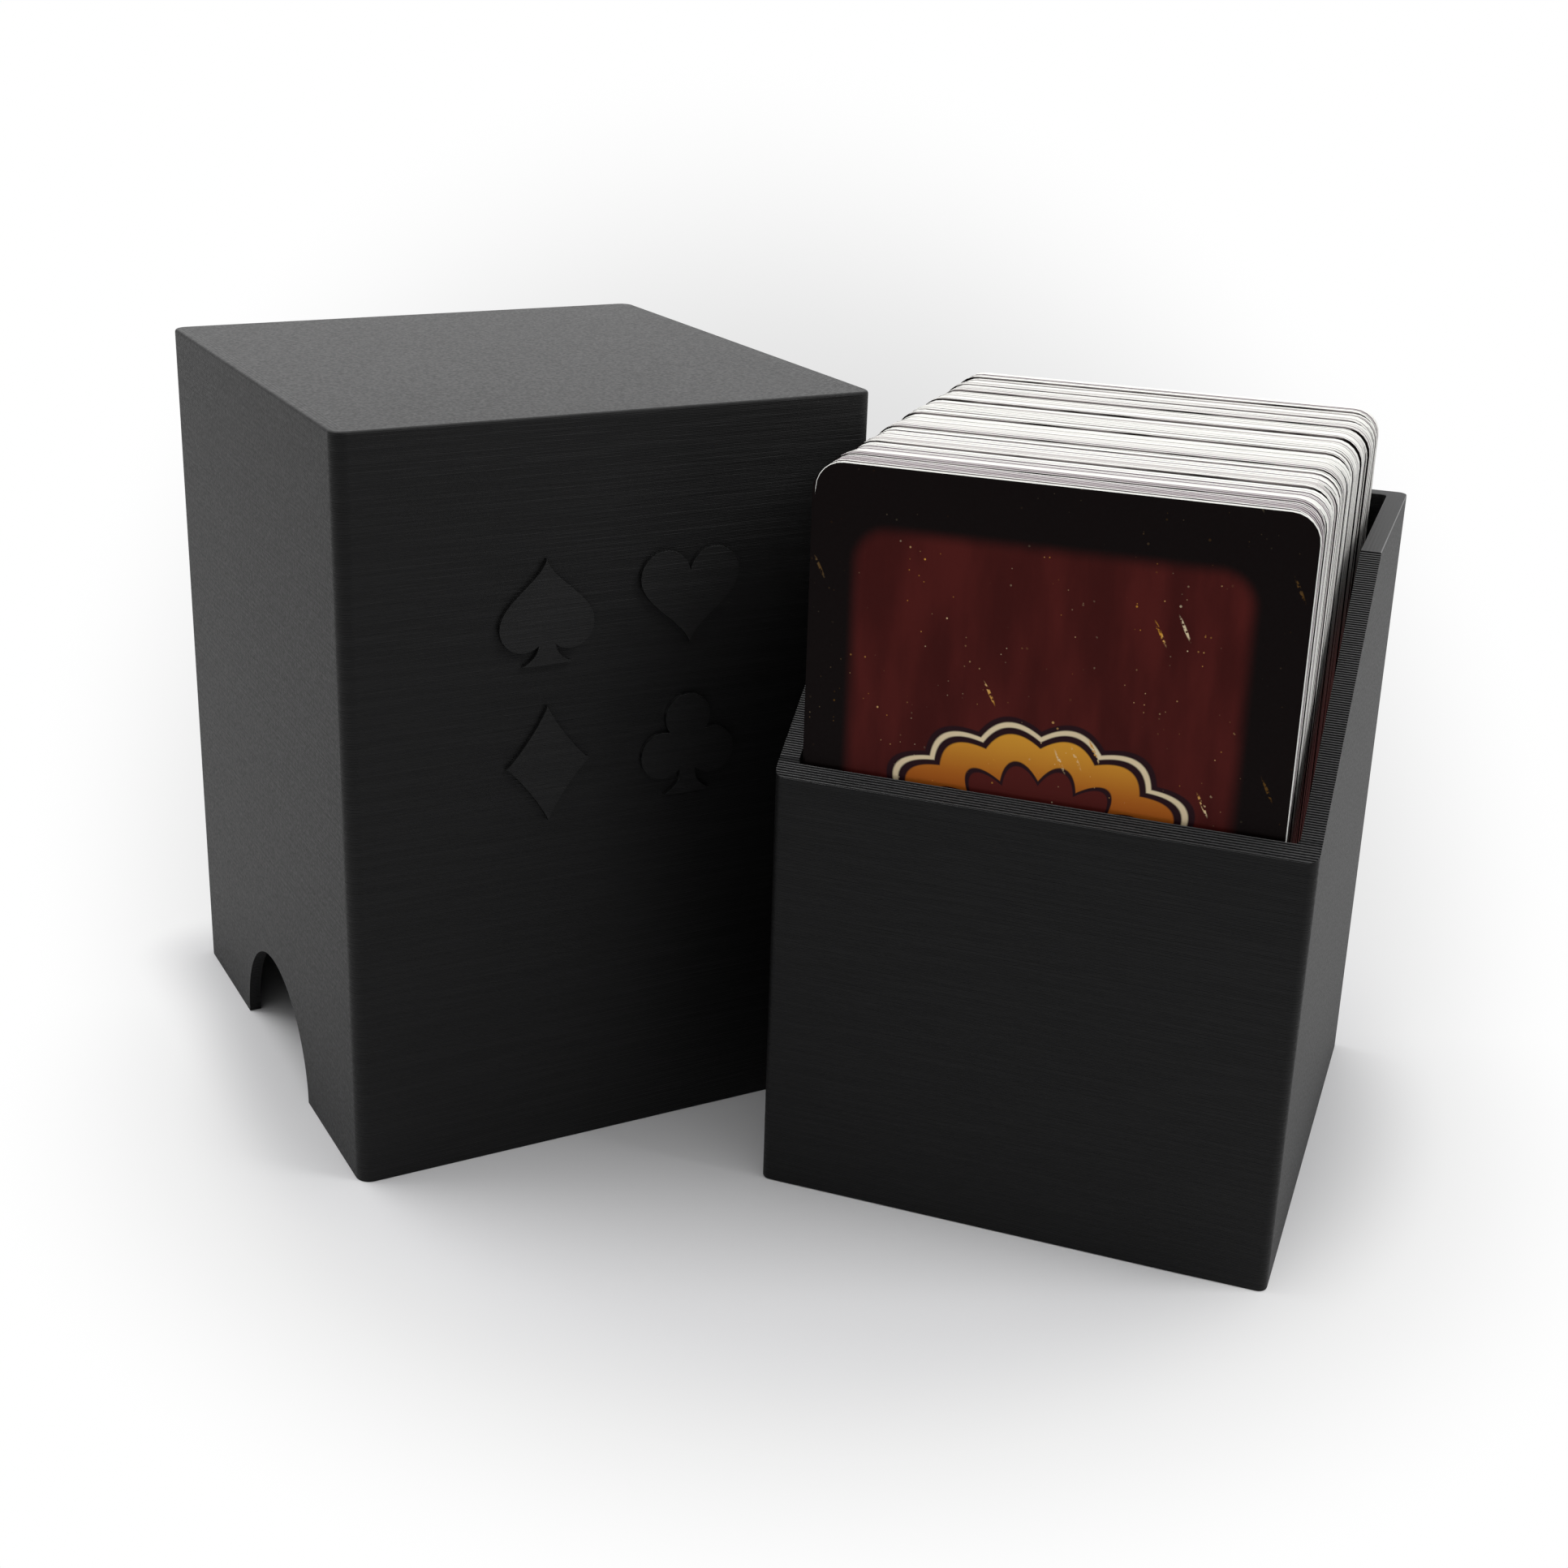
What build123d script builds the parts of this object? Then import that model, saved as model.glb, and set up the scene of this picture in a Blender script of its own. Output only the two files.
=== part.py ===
from build123d import *
import os
from math import cos, radians, sin

# Card storage box: a tray with a sloped mouth holds a standing deck, and its lift-off cover
# stands beside it. Millimetres, +Z up. The origin is the middle of the tray's underside,
# the tray's low front faces -Y, and the cover stands on the -X side.

# Cards
card_width = 56.0
card_height = 87.0
card_thickness = 0.32
card_air = 0.046
card_corner = 3.3
chord_count = 4

# The deck behind the front card: how many cards the packets of a round hold,
# and how many times the round repeats
packet_counts = (4, 9, 6, 11, 5, 8, 3, 10)
round_count = 3

# Free room between the deck and the tray's walls
left_play = 0.25
right_play = 1.95
front_play = 0.6
back_play = 0.25

# Packets were pushed in by hand and stand a little out of line: the shares of the left play
# that their sidewise drift and jog may use, their highest lift off the floor, and how far
# each of these three waves turns from one packet to the next
drift_share = 0.5
jog_share = 0.3
packet_lift = 0.3
drift_degrees = 22.5
jog_degrees = 137.5
lift_degrees = 100.0

# The front card was put back by hand: it stands a little to the right and a little high
front_slip = 0.45
front_rise = 0.45

# Tray walls
side_wall = 2.4
front_wall = 1.75
back_wall = 2.4
floor_thickness = 4.8
tray_corner = 1.2
cavity_corner = 0.6

# How far the cards stand proud of the back wall and of the front wall,
# and how deep the level rear stretch of the side walls is
back_show = 10.8
front_show = 37.55
shelf_depth = 33.0

# Cover: its walls, and the free room at the sides and above the cards, and at front and back
cover_wall = 1.6
cover_play = 1.45
end_play = 1.8
cover_corner = 1.9
hollow_corner = 0.6
top_round = 0.4
notch_radius = 14.5

# Where the cover stands: its turn about +Z, the gap to the tray's side and its shift along Y
cover_turn = 48.6
cover_gap = 0.05
cover_shift = -4.75

# Sizes that follow from the cards
card_pitch = card_thickness + card_air
deck_packets = packet_counts * round_count
card_count = 1 + sum(deck_packets)
deck_depth = card_count * card_pitch - card_air
cavity_width = left_play + card_width + right_play
cavity_depth = front_play + deck_depth + back_play
tray_width = cavity_width + 2 * side_wall
tray_depth = front_wall + cavity_depth + back_wall
card_top = floor_thickness + card_height
back_height = card_top - back_show
front_height = card_top - front_show
cavity_shift = (front_wall - back_wall) / 2
deck_front = front_wall + front_play - tray_depth / 2
card_shift = (left_play - right_play) / 2

# Sizes that follow from the tray
hollow_width = tray_width + 2 * cover_play
hollow_depth = tray_depth + 2 * end_play
hollow_height = card_top + cover_play
cover_width = hollow_width + 2 * cover_wall
cover_depth = hollow_depth + 2 * cover_wall
cover_height = hollow_height + cover_wall
turn_cos = cos(radians(cover_turn))
turn_sin = sin(radians(cover_turn))
corner_x = cover_width / 2 - cover_corner
corner_y = cover_depth / 2 - cover_corner
cover_reach = corner_x * turn_cos + corner_y * turn_sin + cover_corner
cover_place = -(tray_width / 2 + cover_gap + cover_reach)
cover_plane = Plane(
    origin=(cover_place, cover_shift, 0),
    x_dir=(turn_cos, turn_sin, 0),
    z_dir=(0, 0, 1),
)
notch_plane = Plane(
    origin=cover_plane.origin,
    x_dir=cover_plane.y_dir,
    z_dir=cover_plane.x_dir,
)

os.makedirs("parts", exist_ok=True)


def save(piece, name):
    """Label a finished piece and write it as its own file."""
    piece.part.label = name
    export_step(piece.part, f"parts/{name}.step")


# Tray: the side profile gives the high back, the level shelf, the incline and the low front.
with BuildPart() as tray:
    with BuildSketch(Plane.YZ):
        with BuildLine():
            Polyline(
                (-tray_depth / 2, 0),
                (tray_depth / 2, 0),
                (tray_depth / 2, back_height),
                (tray_depth / 2 - shelf_depth, back_height),
                (-tray_depth / 2, front_height),
                close=True,
            )
        make_face()
    extrude(amount=tray_width / 2, both=True)
    fillet(tray.edges().filter_by(Axis.Z), radius=tray_corner)
    # The cavity for the cards, open at the top
    with BuildSketch(Plane.XY.offset(floor_thickness)):
        with Locations((0, cavity_shift)):
            RectangleRounded(cavity_width, cavity_depth, cavity_corner)
    extrude(amount=back_height, mode=Mode.SUBTRACT)
save(tray, "tray")

# Cover: a thin shell with a closed top that slips over the tray and the cards.
with BuildPart() as cover:
    with BuildSketch(cover_plane):
        RectangleRounded(cover_width, cover_depth, cover_corner)
    extrude(amount=cover_height)
    fillet(cover.edges().group_by(Axis.Z)[-1], radius=top_round)
    with BuildSketch(cover_plane):
        RectangleRounded(hollow_width, hollow_depth, hollow_corner)
    extrude(amount=hollow_height, mode=Mode.SUBTRACT)
    # Thumb notches: half circles at the rim of the two sides, so that the tray can be held
    with BuildSketch(notch_plane):
        Circle(notch_radius)
    extrude(amount=cover_width, both=True, mode=Mode.SUBTRACT)
save(cover, "cover")


def card_outline():
    """Corner points of a card about its middle: each round corner is a few chords."""
    points = []
    for corner, (side, level) in enumerate(((1, 1), (-1, 1), (-1, -1), (1, -1))):
        middle_x = side * (card_width / 2 - card_corner)
        middle_z = level * (card_height / 2 - card_corner)
        for chord in range(chord_count + 1):
            angle = radians(90 * (corner + chord / chord_count))
            points.append((middle_x + card_corner * cos(angle), middle_z + card_corner * sin(angle)))
    return points


def packet_shift(packet):
    """Sidewise offset of a packet: a slow drift and an uneven jog, never as far as the left wall."""
    drift = drift_share * sin(radians(packet * drift_degrees))
    jog = jog_share * sin(radians(packet * jog_degrees))
    return left_play * (drift + jog)


def packet_rise(packet):
    """Height of a packet above the tray's floor: the front packet stands on it."""
    return packet_lift * (1 - cos(radians(packet * lift_degrees))) / 2


def card_face(rank, shift, rise):
    """Rear face of the card of this rank, counted from the front, moved sideways and lifted."""
    rear = deck_front + rank * card_pitch + card_thickness
    with BuildSketch(Plane.XZ.offset(-rear)) as face:
        with Locations((card_shift + shift, floor_thickness + card_height / 2 + rise)):
            Polygon(*card_outline(), align=None)
    return face.sketch


# The front card is drawn first, so it is a piece by itself.
with BuildPart() as front_card:
    extrude(card_face(0, front_slip, front_rise), amount=card_thickness)
save(front_card, "front_card")

# The rest of the deck, a packet of loose cards at a time
first_rank = 1
for packet, count in enumerate(deck_packets):
    shift, rise = packet_shift(packet), packet_rise(packet)
    with BuildPart() as cards:
        for rank in range(first_rank, first_rank + count):
            extrude(card_face(rank, shift, rise), amount=card_thickness)
    save(cards, f"card_packet_{packet + 1:02d}")
    first_rank += count
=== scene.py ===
# %% [markdown]
# A box for a deck of cards, printed in black plastic: an open tray with a sloped mouth, a cover
# that lifts off, and the deck standing in the tray. The frame that is loaded here holds the true
# sizes and the bodies that move. This lesson dresses it: each piece is modelled again with more
# detail, given its finish, and tied to the body that it moves with.

# %% Load the fixed frame
import random
from contextlib import contextmanager
from math import copysign, cos, pi, radians, sin, tau

import bmesh
import bpy
from mathutils import Euler, Matrix, Vector


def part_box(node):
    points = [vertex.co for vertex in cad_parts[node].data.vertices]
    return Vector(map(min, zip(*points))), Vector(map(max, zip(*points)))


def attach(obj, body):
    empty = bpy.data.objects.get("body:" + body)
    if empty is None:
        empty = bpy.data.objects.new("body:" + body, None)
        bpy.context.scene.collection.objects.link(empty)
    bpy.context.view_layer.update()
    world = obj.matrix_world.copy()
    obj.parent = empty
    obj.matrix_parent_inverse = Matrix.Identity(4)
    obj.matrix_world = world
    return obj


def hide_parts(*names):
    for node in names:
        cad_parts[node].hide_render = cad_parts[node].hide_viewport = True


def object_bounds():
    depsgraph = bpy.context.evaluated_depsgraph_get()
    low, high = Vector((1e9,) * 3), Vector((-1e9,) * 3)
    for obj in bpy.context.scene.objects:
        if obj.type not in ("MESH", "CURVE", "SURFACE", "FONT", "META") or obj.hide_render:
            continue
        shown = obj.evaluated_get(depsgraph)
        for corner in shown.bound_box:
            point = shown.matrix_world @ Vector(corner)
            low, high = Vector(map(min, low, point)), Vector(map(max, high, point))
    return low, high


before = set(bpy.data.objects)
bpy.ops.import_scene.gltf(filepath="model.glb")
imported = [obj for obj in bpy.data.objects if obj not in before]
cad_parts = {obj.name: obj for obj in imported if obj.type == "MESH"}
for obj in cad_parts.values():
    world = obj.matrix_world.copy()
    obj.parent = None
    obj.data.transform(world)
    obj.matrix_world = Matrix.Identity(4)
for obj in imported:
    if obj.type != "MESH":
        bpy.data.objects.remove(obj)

MM = 0.001
cad_low, cad_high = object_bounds()
print("size of the frame in mm:", [round(side / MM, 2) for side in cad_high - cad_low])

# %% [markdown]
# The main sizes come from the frame, so nothing has to be fitted by eye afterwards. The boxes
# of the nodes give the outer sizes. The height of the low front, the start of the level shelf and
# the walls of the cavity are read from the corners of the tray's own solid. The cover stands at
# an angle, so its corners are turned back first, and then show its own width, depth and hollow.

# %% Read the sizes of the pieces
TOUCH = 0.01 * MM
COVER_TURN = radians(48.6)
tray_low, tray_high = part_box("tray")
card_low, card_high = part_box("front_card")
cover_low, cover_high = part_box("cover")
tray_points = [vertex.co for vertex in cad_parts["tray"].data.vertices]
front_height = max(p.z for p in tray_points if p.y < tray_low.y + TOUCH)
shelf_front = min(p.y for p in tray_points if p.z > tray_high.z - TOUCH)
floor_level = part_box("card_packet_01")[0].z
floor_points = [p for p in tray_points if abs(p.z - floor_level) < TOUCH]
cavity_low = Vector(min(p[axis] for p in floor_points) for axis in range(3))
cavity_high = Vector(max(p[axis] for p in floor_points) for axis in range(3))
card_size = card_high - card_low
cover_middle = (cover_low + cover_high) / 2
unturn = Matrix.Rotation(-COVER_TURN, 3, "Z")
cover_points = [unturn @ (v.co - cover_middle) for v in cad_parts["cover"].data.vertices]
cover_half = Vector(max(p[axis] for p in cover_points) for axis in range(3))
ceiling = max(p.z for p in cover_points if p.z < cover_half.z - MM)
ceiling_points = [p for p in cover_points if abs(p.z - ceiling) < TOUCH]
hollow_half = Vector(max(p[axis] for p in ceiling_points) for axis in range(3))
print("tray front", round(front_height / MM, 2), "back", round(tray_high.z / MM, 2), "mm high")
print("cover", [round(2 * side / MM, 2) for side in cover_half], "mm")
print("card", [round(side / MM, 2) for side in card_size], "mm")

# %% [markdown]
# The camera comes before any modelling, because it decides how much detail can be seen. Its
# place, turn and lens were found by matching the corners of the boxes with the picture. The
# optical axis misses the middle of the picture a little, so the lens is shifted.

# %% Place the camera
PICTURE = 1932
FOCAL_PIXELS = 2664.2
AXIS_PIXEL = (912.35, 881.47)
SENSOR = 36
scene = bpy.context.scene
camera_data = bpy.data.cameras.new("picture_camera")
camera_data.sensor_width = SENSOR
camera_data.lens = FOCAL_PIXELS / PICTURE * SENSOR
camera_data.shift_x = 0.5 - AXIS_PIXEL[0] / PICTURE
camera_data.shift_y = AXIS_PIXEL[1] / PICTURE - 0.5
camera_data.clip_start = 10 * MM
camera = bpy.data.objects.new("picture_camera", camera_data)
CAMERA_PLACE = Vector((49.45, -257.01, 146.17)) * MM
CAMERA_YAW, CAMERA_PITCH, CAMERA_ROLL = radians(-20.871), radians(-19.542), radians(1.509)
aim = Euler((pi / 2 + CAMERA_PITCH, 0, -CAMERA_YAW)).to_matrix().to_4x4()
camera.matrix_world = Matrix.Translation(CAMERA_PLACE) @ aim @ Matrix.Rotation(CAMERA_ROLL, 4, "Z")
scene.collection.objects.link(camera)
scene.camera = camera
scene.view_settings.view_transform = "Standard"
print("lens", round(camera_data.lens, 2), "mm")

# %% [markdown]
# Materials are trees of nodes. One helper places a node, gives its inputs a constant or a link
# and returns it, so that a tree reads from top to bottom like a recipe. The other helpers cover
# what recipes use most: a step of arithmetic on values or on places, the parts and the length of
# a place, a smooth ramp, and a mix of two colours.


# %% Helpers that place shader nodes
def place(tree, kind, inputs=None, **settings):
    """Add a shader node, set its options, and fill its inputs with constants or links."""
    made = tree.nodes.new("ShaderNode" + kind)
    for name, value in settings.items():
        setattr(made, name, value)
    for socket, value in (inputs or {}).items():
        if isinstance(value, bpy.types.NodeSocket):
            tree.links.new(value, made.inputs[socket])
        else:
            made.inputs[socket].default_value = value
    return made


def calc(tree, operation, first, second=0.0, third=0.0):
    """One step of arithmetic on values that change over the surface."""
    inputs = {0: first, 1: second, 2: third}
    return place(tree, "Math", inputs, operation=operation).outputs[0]


def vector(tree, operation, first, second=(0, 0, 0)):
    """One step of arithmetic on places."""
    return place(tree, "VectorMath", {0: first, 1: second}, operation=operation).outputs[0]


def length(tree, offset):
    """How long an offset is."""
    return place(tree, "VectorMath", {0: offset}, operation="LENGTH").outputs["Value"]


def axes(tree, spot):
    """The X, Y and Z of a place."""
    return place(tree, "SeparateXYZ", {0: spot}).outputs


def ramp(tree, value, start, end, low=0.0, high=1.0):
    """A smooth change from low to high while the value goes from start to end."""
    inputs = {"Value": value, 1: start, 2: end, 3: low, 4: high}
    return place(tree, "MapRange", inputs, interpolation_type="SMOOTHSTEP").outputs["Result"]


def mix(tree, factor, first, second):
    """Two colours mixed by a mask."""
    inputs = {0: factor, 6: first, 7: second}
    return place(tree, "Mix", inputs, data_type="RGBA").outputs[2]


print("node helpers ready")

# %% [markdown]
# The stage is a pale floor without an edge. Close to the boxes it is a plain matt surface that
# takes their shadow. Further out the camera sees it turn into the white of the background, and
# so does anything that mirrors it. The turn follows ovals about a spot between the boxes. They lie
# along the line of sight and widen with the distance behind the boxes, so that they look like one
# oval from where the camera stands. No glow gets under the cover, where it is dark.

# %% Lay the floor
FLOOR_SIZE = 6.0
FLOOR_DROP = 0.05 * MM
FLOOR_COLOUR = (0.75, 0.75, 0.76, 1)
GLOW_MIDDLE = Vector((-40.5, 9.5, 0)) * MM
GLOW_SIDE, GLOW_FRONT, GLOW_BACK = 104 * MM, 113 * MM, 252 * MM
GLOW_DEPTH = 300 * MM
GLOW_REACH, GLOW_LEVELS = (0.62, 1.09), (0.74, 1.0)
FADE_REACH = (0.66, 0.86)
COVER_SHADE = 14 * MM
WHITE = (1, 1, 1, 1)


def seen_directly(tree):
    """1 for rays that show the background itself: straight, mirrored or through glass."""
    rays = place(tree, "LightPath").outputs
    shown = calc(tree, "MAXIMUM", rays["Is Camera Ray"], rays["Is Glossy Ray"])
    return calc(tree, "MAXIMUM", shown, rays["Is Transmission Ray"])


def oval_reach(tree, along, back):
    """How far out a place is on the ovals: 0 in the middle and 1 where the floor turns white."""
    behind = calc(tree, "MAXIMUM", along["Y"], 0.0)
    shrink = calc(tree, "MULTIPLY_ADD", behind, 1 / GLOW_DEPTH, 1.0)
    across = calc(tree, "DIVIDE", along["X"], calc(tree, "MULTIPLY", shrink, GLOW_SIDE))
    radius = ramp(tree, along["Y"], -TOUCH, TOUCH, GLOW_FRONT, back)
    depth = calc(tree, "DIVIDE", along["Y"], calc(tree, "MULTIPLY", shrink, radius))
    return length(tree, place(tree, "CombineXYZ", {"X": across, "Y": depth}).outputs[0])


def inset_from(tree, spot, middle, half, turn):
    """A place turned into an upright block, and how far it lies within the block's sides."""
    settings = {"Vector": spot, "Location": middle, "Rotation": (0, 0, turn)}
    local = place(tree, "Mapping", settings, vector_type="TEXTURE").outputs[0]
    return local, vector(tree, "SUBTRACT", half, vector(tree, "ABSOLUTE", local))


bpy.ops.object.select_all(action="DESELECT")
bpy.ops.mesh.primitive_plane_add(size=FLOOR_SIZE, location=(0, 0, -FLOOR_DROP))
floor = bpy.context.object
floor.name = "studio_floor"
floor_paint = bpy.data.materials.new("studio_floor")
floor_paint.use_nodes = True
tree = floor_paint.node_tree
tree.nodes.clear()
spot = place(tree, "TexCoord").outputs["Object"]
offset = vector(tree, "SUBTRACT", spot, GLOW_MIDDLE)
along = place(tree, "Mapping", {"Vector": offset, "Rotation": (0, 0, CAMERA_YAW)}).outputs[0]
along = axes(tree, along)
away = oval_reach(tree, along, GLOW_FRONT)
fade = calc(tree, "MULTIPLY", ramp(tree, away, *FADE_REACH), seen_directly(tree))
cover_spot = Vector((cover_middle.x, cover_middle.y, 0))
under = inset_from(tree, spot, cover_spot, hollow_half, COVER_TURN)[1]
outside = length(tree, vector(tree, "MINIMUM", under, (0, 0, 0)))
fade = calc(tree, "MULTIPLY", fade, ramp(tree, outside, 0.0, COVER_SHADE))
glow_level = ramp(tree, oval_reach(tree, along, GLOW_BACK), *GLOW_REACH, *GLOW_LEVELS)
matt = place(tree, "BsdfDiffuse", {"Color": FLOOR_COLOUR})
glow = place(tree, "Emission", {"Color": WHITE, "Strength": glow_level})
blend = place(tree, "MixShader", {0: fade, 1: matt.outputs[0], 2: glow.outputs[0]})
place(tree, "OutputMaterial", {"Surface": blend.outputs[0]})
floor.data.materials.append(floor_paint)
print("floor laid at", round(floor.location.z / MM, 2), "mm")

# %% [markdown]
# Black plastic gets its shape from what it mirrors. The room is a white tent that is bright
# behind and at the sides, and dim where the photographer stands, so the tops and the side walls
# shine softly while the faces towards the camera stay dark. Three softboxes add the soft light
# from above that whitens the deck.

# %% Light the room
ROOM_LEVEL = 0.38
ROOM_FRONT, ROOM_BACK = 0.083, 1.0
ROOM_TURN = (-0.7, 0.35)
world = bpy.data.worlds.new("white_tent")
scene.world = world
world.use_nodes = True
tree = world.node_tree
tree.nodes.clear()
heading = axes(tree, place(tree, "TexCoord").outputs["Generated"])
tent = ramp(tree, heading["Y"], *ROOM_TURN, ROOM_FRONT, ROOM_BACK)
camera_ray = place(tree, "LightPath").outputs["Is Camera Ray"]
mirrored = calc(tree, "MAXIMUM", tent, camera_ray)
strength = place(tree, "Mix", {0: seen_directly(tree), 2: ROOM_LEVEL, 3: mirrored}).outputs[0]
room = place(tree, "Background", {"Color": WHITE, "Strength": strength})
place(tree, "OutputWorld", {"Surface": room.outputs[0]})


def softbox(name, spot, size, watts):
    """A square lamp that points at the middle of the object."""
    lamp_data = bpy.data.lights.new(name, "AREA")
    lamp_data.size = size
    lamp_data.energy = watts
    lamp = bpy.data.objects.new(name, lamp_data)
    lamp.location = spot
    target = (cad_low + cad_high) / 2
    lamp.rotation_euler = (lamp.location - target).to_track_quat("Z", "Y").to_euler()
    scene.collection.objects.link(lamp)


softbox("top_softbox", Vector((-60, 20, 760)) * MM, 0.9, 3.0)
softbox("left_softbox", Vector((-420, -40, 640)) * MM, 0.4, 1.8)
softbox("right_softbox", Vector((480, 60, 560)) * MM, 0.25, 1.6)
print("lamps:", [lamp.name for lamp in bpy.data.lights])

# %% [markdown]
# Modelling starts with a few tools for the hand. An operator acts on all that is selected, so
# a new primitive is added with nothing else selected, a piece is opened in edit mode with an
# empty selection, and faces or edges are then picked by where they are or which way they face.


# %% Helpers that select and edit
def new_piece(add, name, **settings):
    """Add a primitive with nothing else selected, and name it."""
    bpy.ops.object.select_all(action="DESELECT")
    add(**settings)
    piece = bpy.context.object
    piece.name = piece.data.name = name
    return piece


def make_active(piece):
    """Select one piece alone, so that the next operator acts on it."""
    bpy.ops.object.select_all(action="DESELECT")
    bpy.context.view_layer.objects.active = piece
    piece.select_set(True)


@contextmanager
def editing(piece, mode="FACE"):
    """Open one piece in edit mode with an empty selection, and close it again."""
    make_active(piece)
    bpy.ops.object.mode_set(mode="EDIT")
    bpy.ops.mesh.select_mode(type=mode)
    bpy.ops.mesh.select_all(action="DESELECT")
    yield
    bpy.ops.object.mode_set(mode="OBJECT")


def pick(piece, parts, test):
    """Select the faces, edges or verts that pass a test, and say how many there are."""
    bpy.ops.mesh.select_all(action="DESELECT")
    shape = bmesh.from_edit_mesh(piece.data)
    chosen = [part for part in getattr(shape, parts) if test(part)]
    for part in chosen:
        part.select_set(True)
    shape.select_flush_mode()
    bmesh.update_edit_mesh(piece.data)
    return len(chosen)


def select_all():
    """Select all of the piece in edit mode."""
    bpy.ops.mesh.select_all(action="SELECT")


def settle(piece):
    """Move a piece's place and turn into its mesh, so that the object sits at the origin."""
    make_active(piece)
    bpy.ops.object.transform_apply(location=True, rotation=True, scale=True)


def push(y=0.0, z=0.0):
    """Extrude what is selected along Y or Z."""
    bpy.ops.mesh.extrude_region_move(TRANSFORM_OT_translate={"value": (0, y, z)})


def face_outwards():
    """Turn all faces of the piece in edit mode outwards."""
    select_all()
    bpy.ops.mesh.normals_make_consistent(inside=False)


print("editing helpers ready")

# %% [markdown]
# Solids are made of a few steps that repeat. A modifier is applied at once, so that the mesh is
# what it looks like. Solids are cut out of each other or fused, and their sharp edges rounded. Many
# start as a rounded block: a plane that is bevelled at its corners and extruded.

# %% Helpers that build solids
SMOOTH_ANGLE = radians(32)
SHARP_ANGLE = radians(50)


def apply_modifier(piece, kind, **settings):
    """Add a modifier and apply it at once."""
    modifier = piece.modifiers.new(kind.lower(), kind)
    for name, value in settings.items():
        setattr(modifier, name, value)
    make_active(piece)
    bpy.ops.object.modifier_apply(modifier=modifier.name)


def carve(piece, tool, operation="DIFFERENCE"):
    """Cut one solid out of another, or fuse them, and throw the tool away."""
    apply_modifier(piece, "BOOLEAN", operation=operation, solver="EXACT", object=tool)
    bpy.data.objects.remove(tool)


def soften(piece, width, segments):
    """Round all sharp edges of a piece."""
    limit = {"limit_method": "ANGLE", "angle_limit": SHARP_ANGLE}
    apply_modifier(piece, "BEVEL", width=width, segments=segments, **limit)


def join_pieces(pieces, name):
    """Make one piece of several, under a new name."""
    make_active(pieces[0])
    for piece in pieces:
        piece.select_set(True)
    if len(pieces) > 1:
        bpy.ops.object.join()
    pieces[0].name = pieces[0].data.name = name
    return pieces[0]


def rounded_block(name, low, high, corner, segments):
    """A block with round upright edges: a plane, its corners bevelled, extruded upwards."""
    middle = (low + high) / 2
    base = (middle.x, middle.y, low.z)
    block = new_piece(bpy.ops.mesh.primitive_plane_add, name, size=1, location=base)
    with editing(block):
        select_all()
        bpy.ops.transform.resize(value=(high.x - low.x, high.y - low.y, 1), center_override=base)
        bpy.ops.mesh.bevel(offset=corner, segments=segments, affect="VERTICES")
        select_all()
        push(z=high.z - low.z)
        face_outwards()
    settle(block)
    return block


def finish_piece(piece, materials, body):
    """Smooth the round faces, give the piece its materials and tie it to a body."""
    make_active(piece)
    bpy.ops.object.shade_smooth_by_angle(angle=SMOOTH_ANGLE)
    apply_modifier(piece, "WEIGHTED_NORMAL", keep_sharp=True)
    for material in materials:
        piece.data.materials.append(material)
    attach(piece, body)
    print(piece.name, len(piece.data.polygons), "faces, rides on", body)


print("solid helpers ready")

# %% [markdown]
# Both boxes come off a desktop printer that lays molten plastic in layers a fifth of a
# millimetre high. That shows as fine level ridges on every wall, a few of them stronger where
# the nozzle drew more plastic. The group below draws the ridges once for all printed pieces. Its
# streaks change from layer to layer and hardly along a layer.

# %% The ridges of printed layers
LAYER = 0.2 * MM
STREAK_STRETCH = (60, 60, 2600)


def new_group(name, inputs, outputs):
    """An empty shader node group with named float or vector inputs and float outputs."""
    group = bpy.data.node_groups.new(name, "ShaderNodeTree")
    for label, kind in inputs.items():
        group.interface.new_socket(name=label, in_out="INPUT", socket_type="NodeSocket" + kind)
    for label in outputs:
        group.interface.new_socket(name=label, in_out="OUTPUT", socket_type="NodeSocketFloat")
    given = group.nodes.new("NodeGroupInput").outputs
    return group, given, group.nodes.new("NodeGroupOutput").inputs


layer_lines, given, result = new_group(
    "layer_lines", {"Place": "Vector", "Layer": "Float", "Seed": "Float"}, ("Ridge", "Streak")
)
tree = layer_lines
count = calc(tree, "DIVIDE", axes(tree, given["Place"])["Z"], given["Layer"])
rise = calc(tree, "FRACT", count)
ridge = calc(tree, "SINE", calc(tree, "MULTIPLY", rise, pi))
stretch = vector(tree, "MULTIPLY", given["Place"], STREAK_STRETCH)
streak = place(
    tree,
    "TexNoise",
    {"Vector": stretch, "W": given["Seed"], "Scale": 1.0, "Detail": 3.0},
    noise_dimensions="4D",
)
uneven = ramp(tree, streak.outputs["Fac"], 0.35, 0.75)
tree.links.new(ridge, result["Ridge"])
tree.links.new(uneven, result["Streak"])
print(layer_lines.name, "has", len(layer_lines.nodes), "nodes")

# %% [markdown]
# Fine grain is wanted twice: the plastic has a sanded look between its ridges, and card stock
# has fibres. One group gives both, as a mottle of a chosen size.

# %% Fine grain for plastic and card
GRAIN = 2600.0
fine_grain, given, result = new_group(
    "fine_grain", {"Place": "Vector", "Scale": "Float"}, ("Mottle",)
)
mottle = place(
    fine_grain, "TexNoise", {"Vector": given["Place"], "Scale": given["Scale"], "Detail": 4.0}
)
fine_grain.links.new(mottle.outputs["Fac"], result["Mottle"])
print(fine_grain.name, "has", len(fine_grain.nodes), "nodes")

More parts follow.
